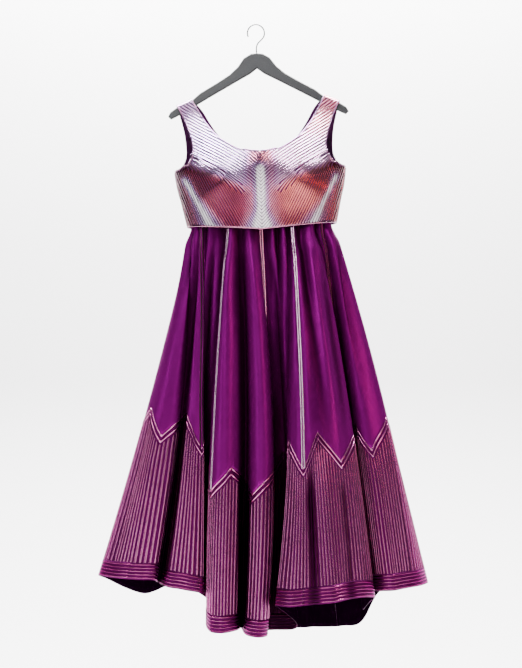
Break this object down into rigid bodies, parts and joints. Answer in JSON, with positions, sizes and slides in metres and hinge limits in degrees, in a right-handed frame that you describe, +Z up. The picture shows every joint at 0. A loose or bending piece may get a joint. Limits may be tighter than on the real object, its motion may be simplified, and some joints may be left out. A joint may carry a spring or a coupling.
{
  "type": "bridal lehenga on hanger",
  "caption": "Sleeveless bridal choli over a long flared lehenga skirt with a zigzag foil border, hung together on a clothes hanger.",
  "frame": {"origin": "top of the inside of the hook, where the hanger hangs on a rail", "axes": "+Z up, front of the garment faces -Y, +X to the viewer's right"},
  "size_m": [0.7688, 0.3369, 1.4255],
  "materials": {
    "satin": "smooth magenta-purple satin with a soft sheen",
    "foil_cloth": "narrow slanting rose-silver foil strips on purple",
    "foil_border": "narrow rose-copper foil strips on purple satin",
    "foil_tape": "doubled rose-gold foil tape",
    "lining": "plain matt purple lining",
    "hanger_plastic": "plain grey satin plastic",
    "hook_steel": "polished steel wire"
  },
  "bodies": {
    "root": {"hanger_body": "hanger_plastic", "hanger_hook": "hook_steel", "choli_front_left": "foil_cloth", "choli_lining_front_left": "lining", "choli_front_right": "foil_cloth", "choli_lining_front_right": "lining", "choli_back_left": "foil_cloth", "choli_lining_back_left": "lining", "choli_back_right": "foil_cloth", "choli_lining_back_right": "lining", "skirt_gore_01": "satin", "border_01": "foil_border", "hem_band_01": "foil_border", "seam_tape_01": "foil_tape", "skirt_gore_02": "satin", "border_02": "foil_border", "hem_band_02": "foil_border", "seam_tape_02": "foil_tape", "skirt_gore_03": "satin", "border_03": "foil_border", "hem_band_03": "foil_border", "seam_tape_03": "foil_tape", "skirt_gore_04": "satin", "border_04": "foil_border", "hem_band_04": "foil_border", "seam_tape_04": "foil_tape", "skirt_gore_05": "satin", "border_05": "foil_border", "hem_band_05": "foil_border", "seam_tape_05": "foil_tape", "skirt_gore_06": "satin", "border_06": "foil_border", "hem_band_06": "foil_border", "seam_tape_06": "foil_tape", "skirt_gore_07": "satin", "border_07": "foil_border", "hem_band_07": "foil_border", "seam_tape_07": "foil_tape", "skirt_gore_08": "satin", "border_08": "foil_border", "hem_band_08": "foil_border", "seam_tape_08": "foil_tape", "skirt_gore_09": "satin", "border_09": "foil_border", "hem_band_09": "foil_border", "seam_tape_09": "foil_tape", "skirt_gore_10": "satin", "border_10": "foil_border", "hem_band_10": "foil_border", "seam_tape_10": "foil_tape", "waistband_front": "satin", "waistband_back": "satin", "skirt_loop_left": "satin", "skirt_loop_right": "satin"}
  },
  "joints": []
}
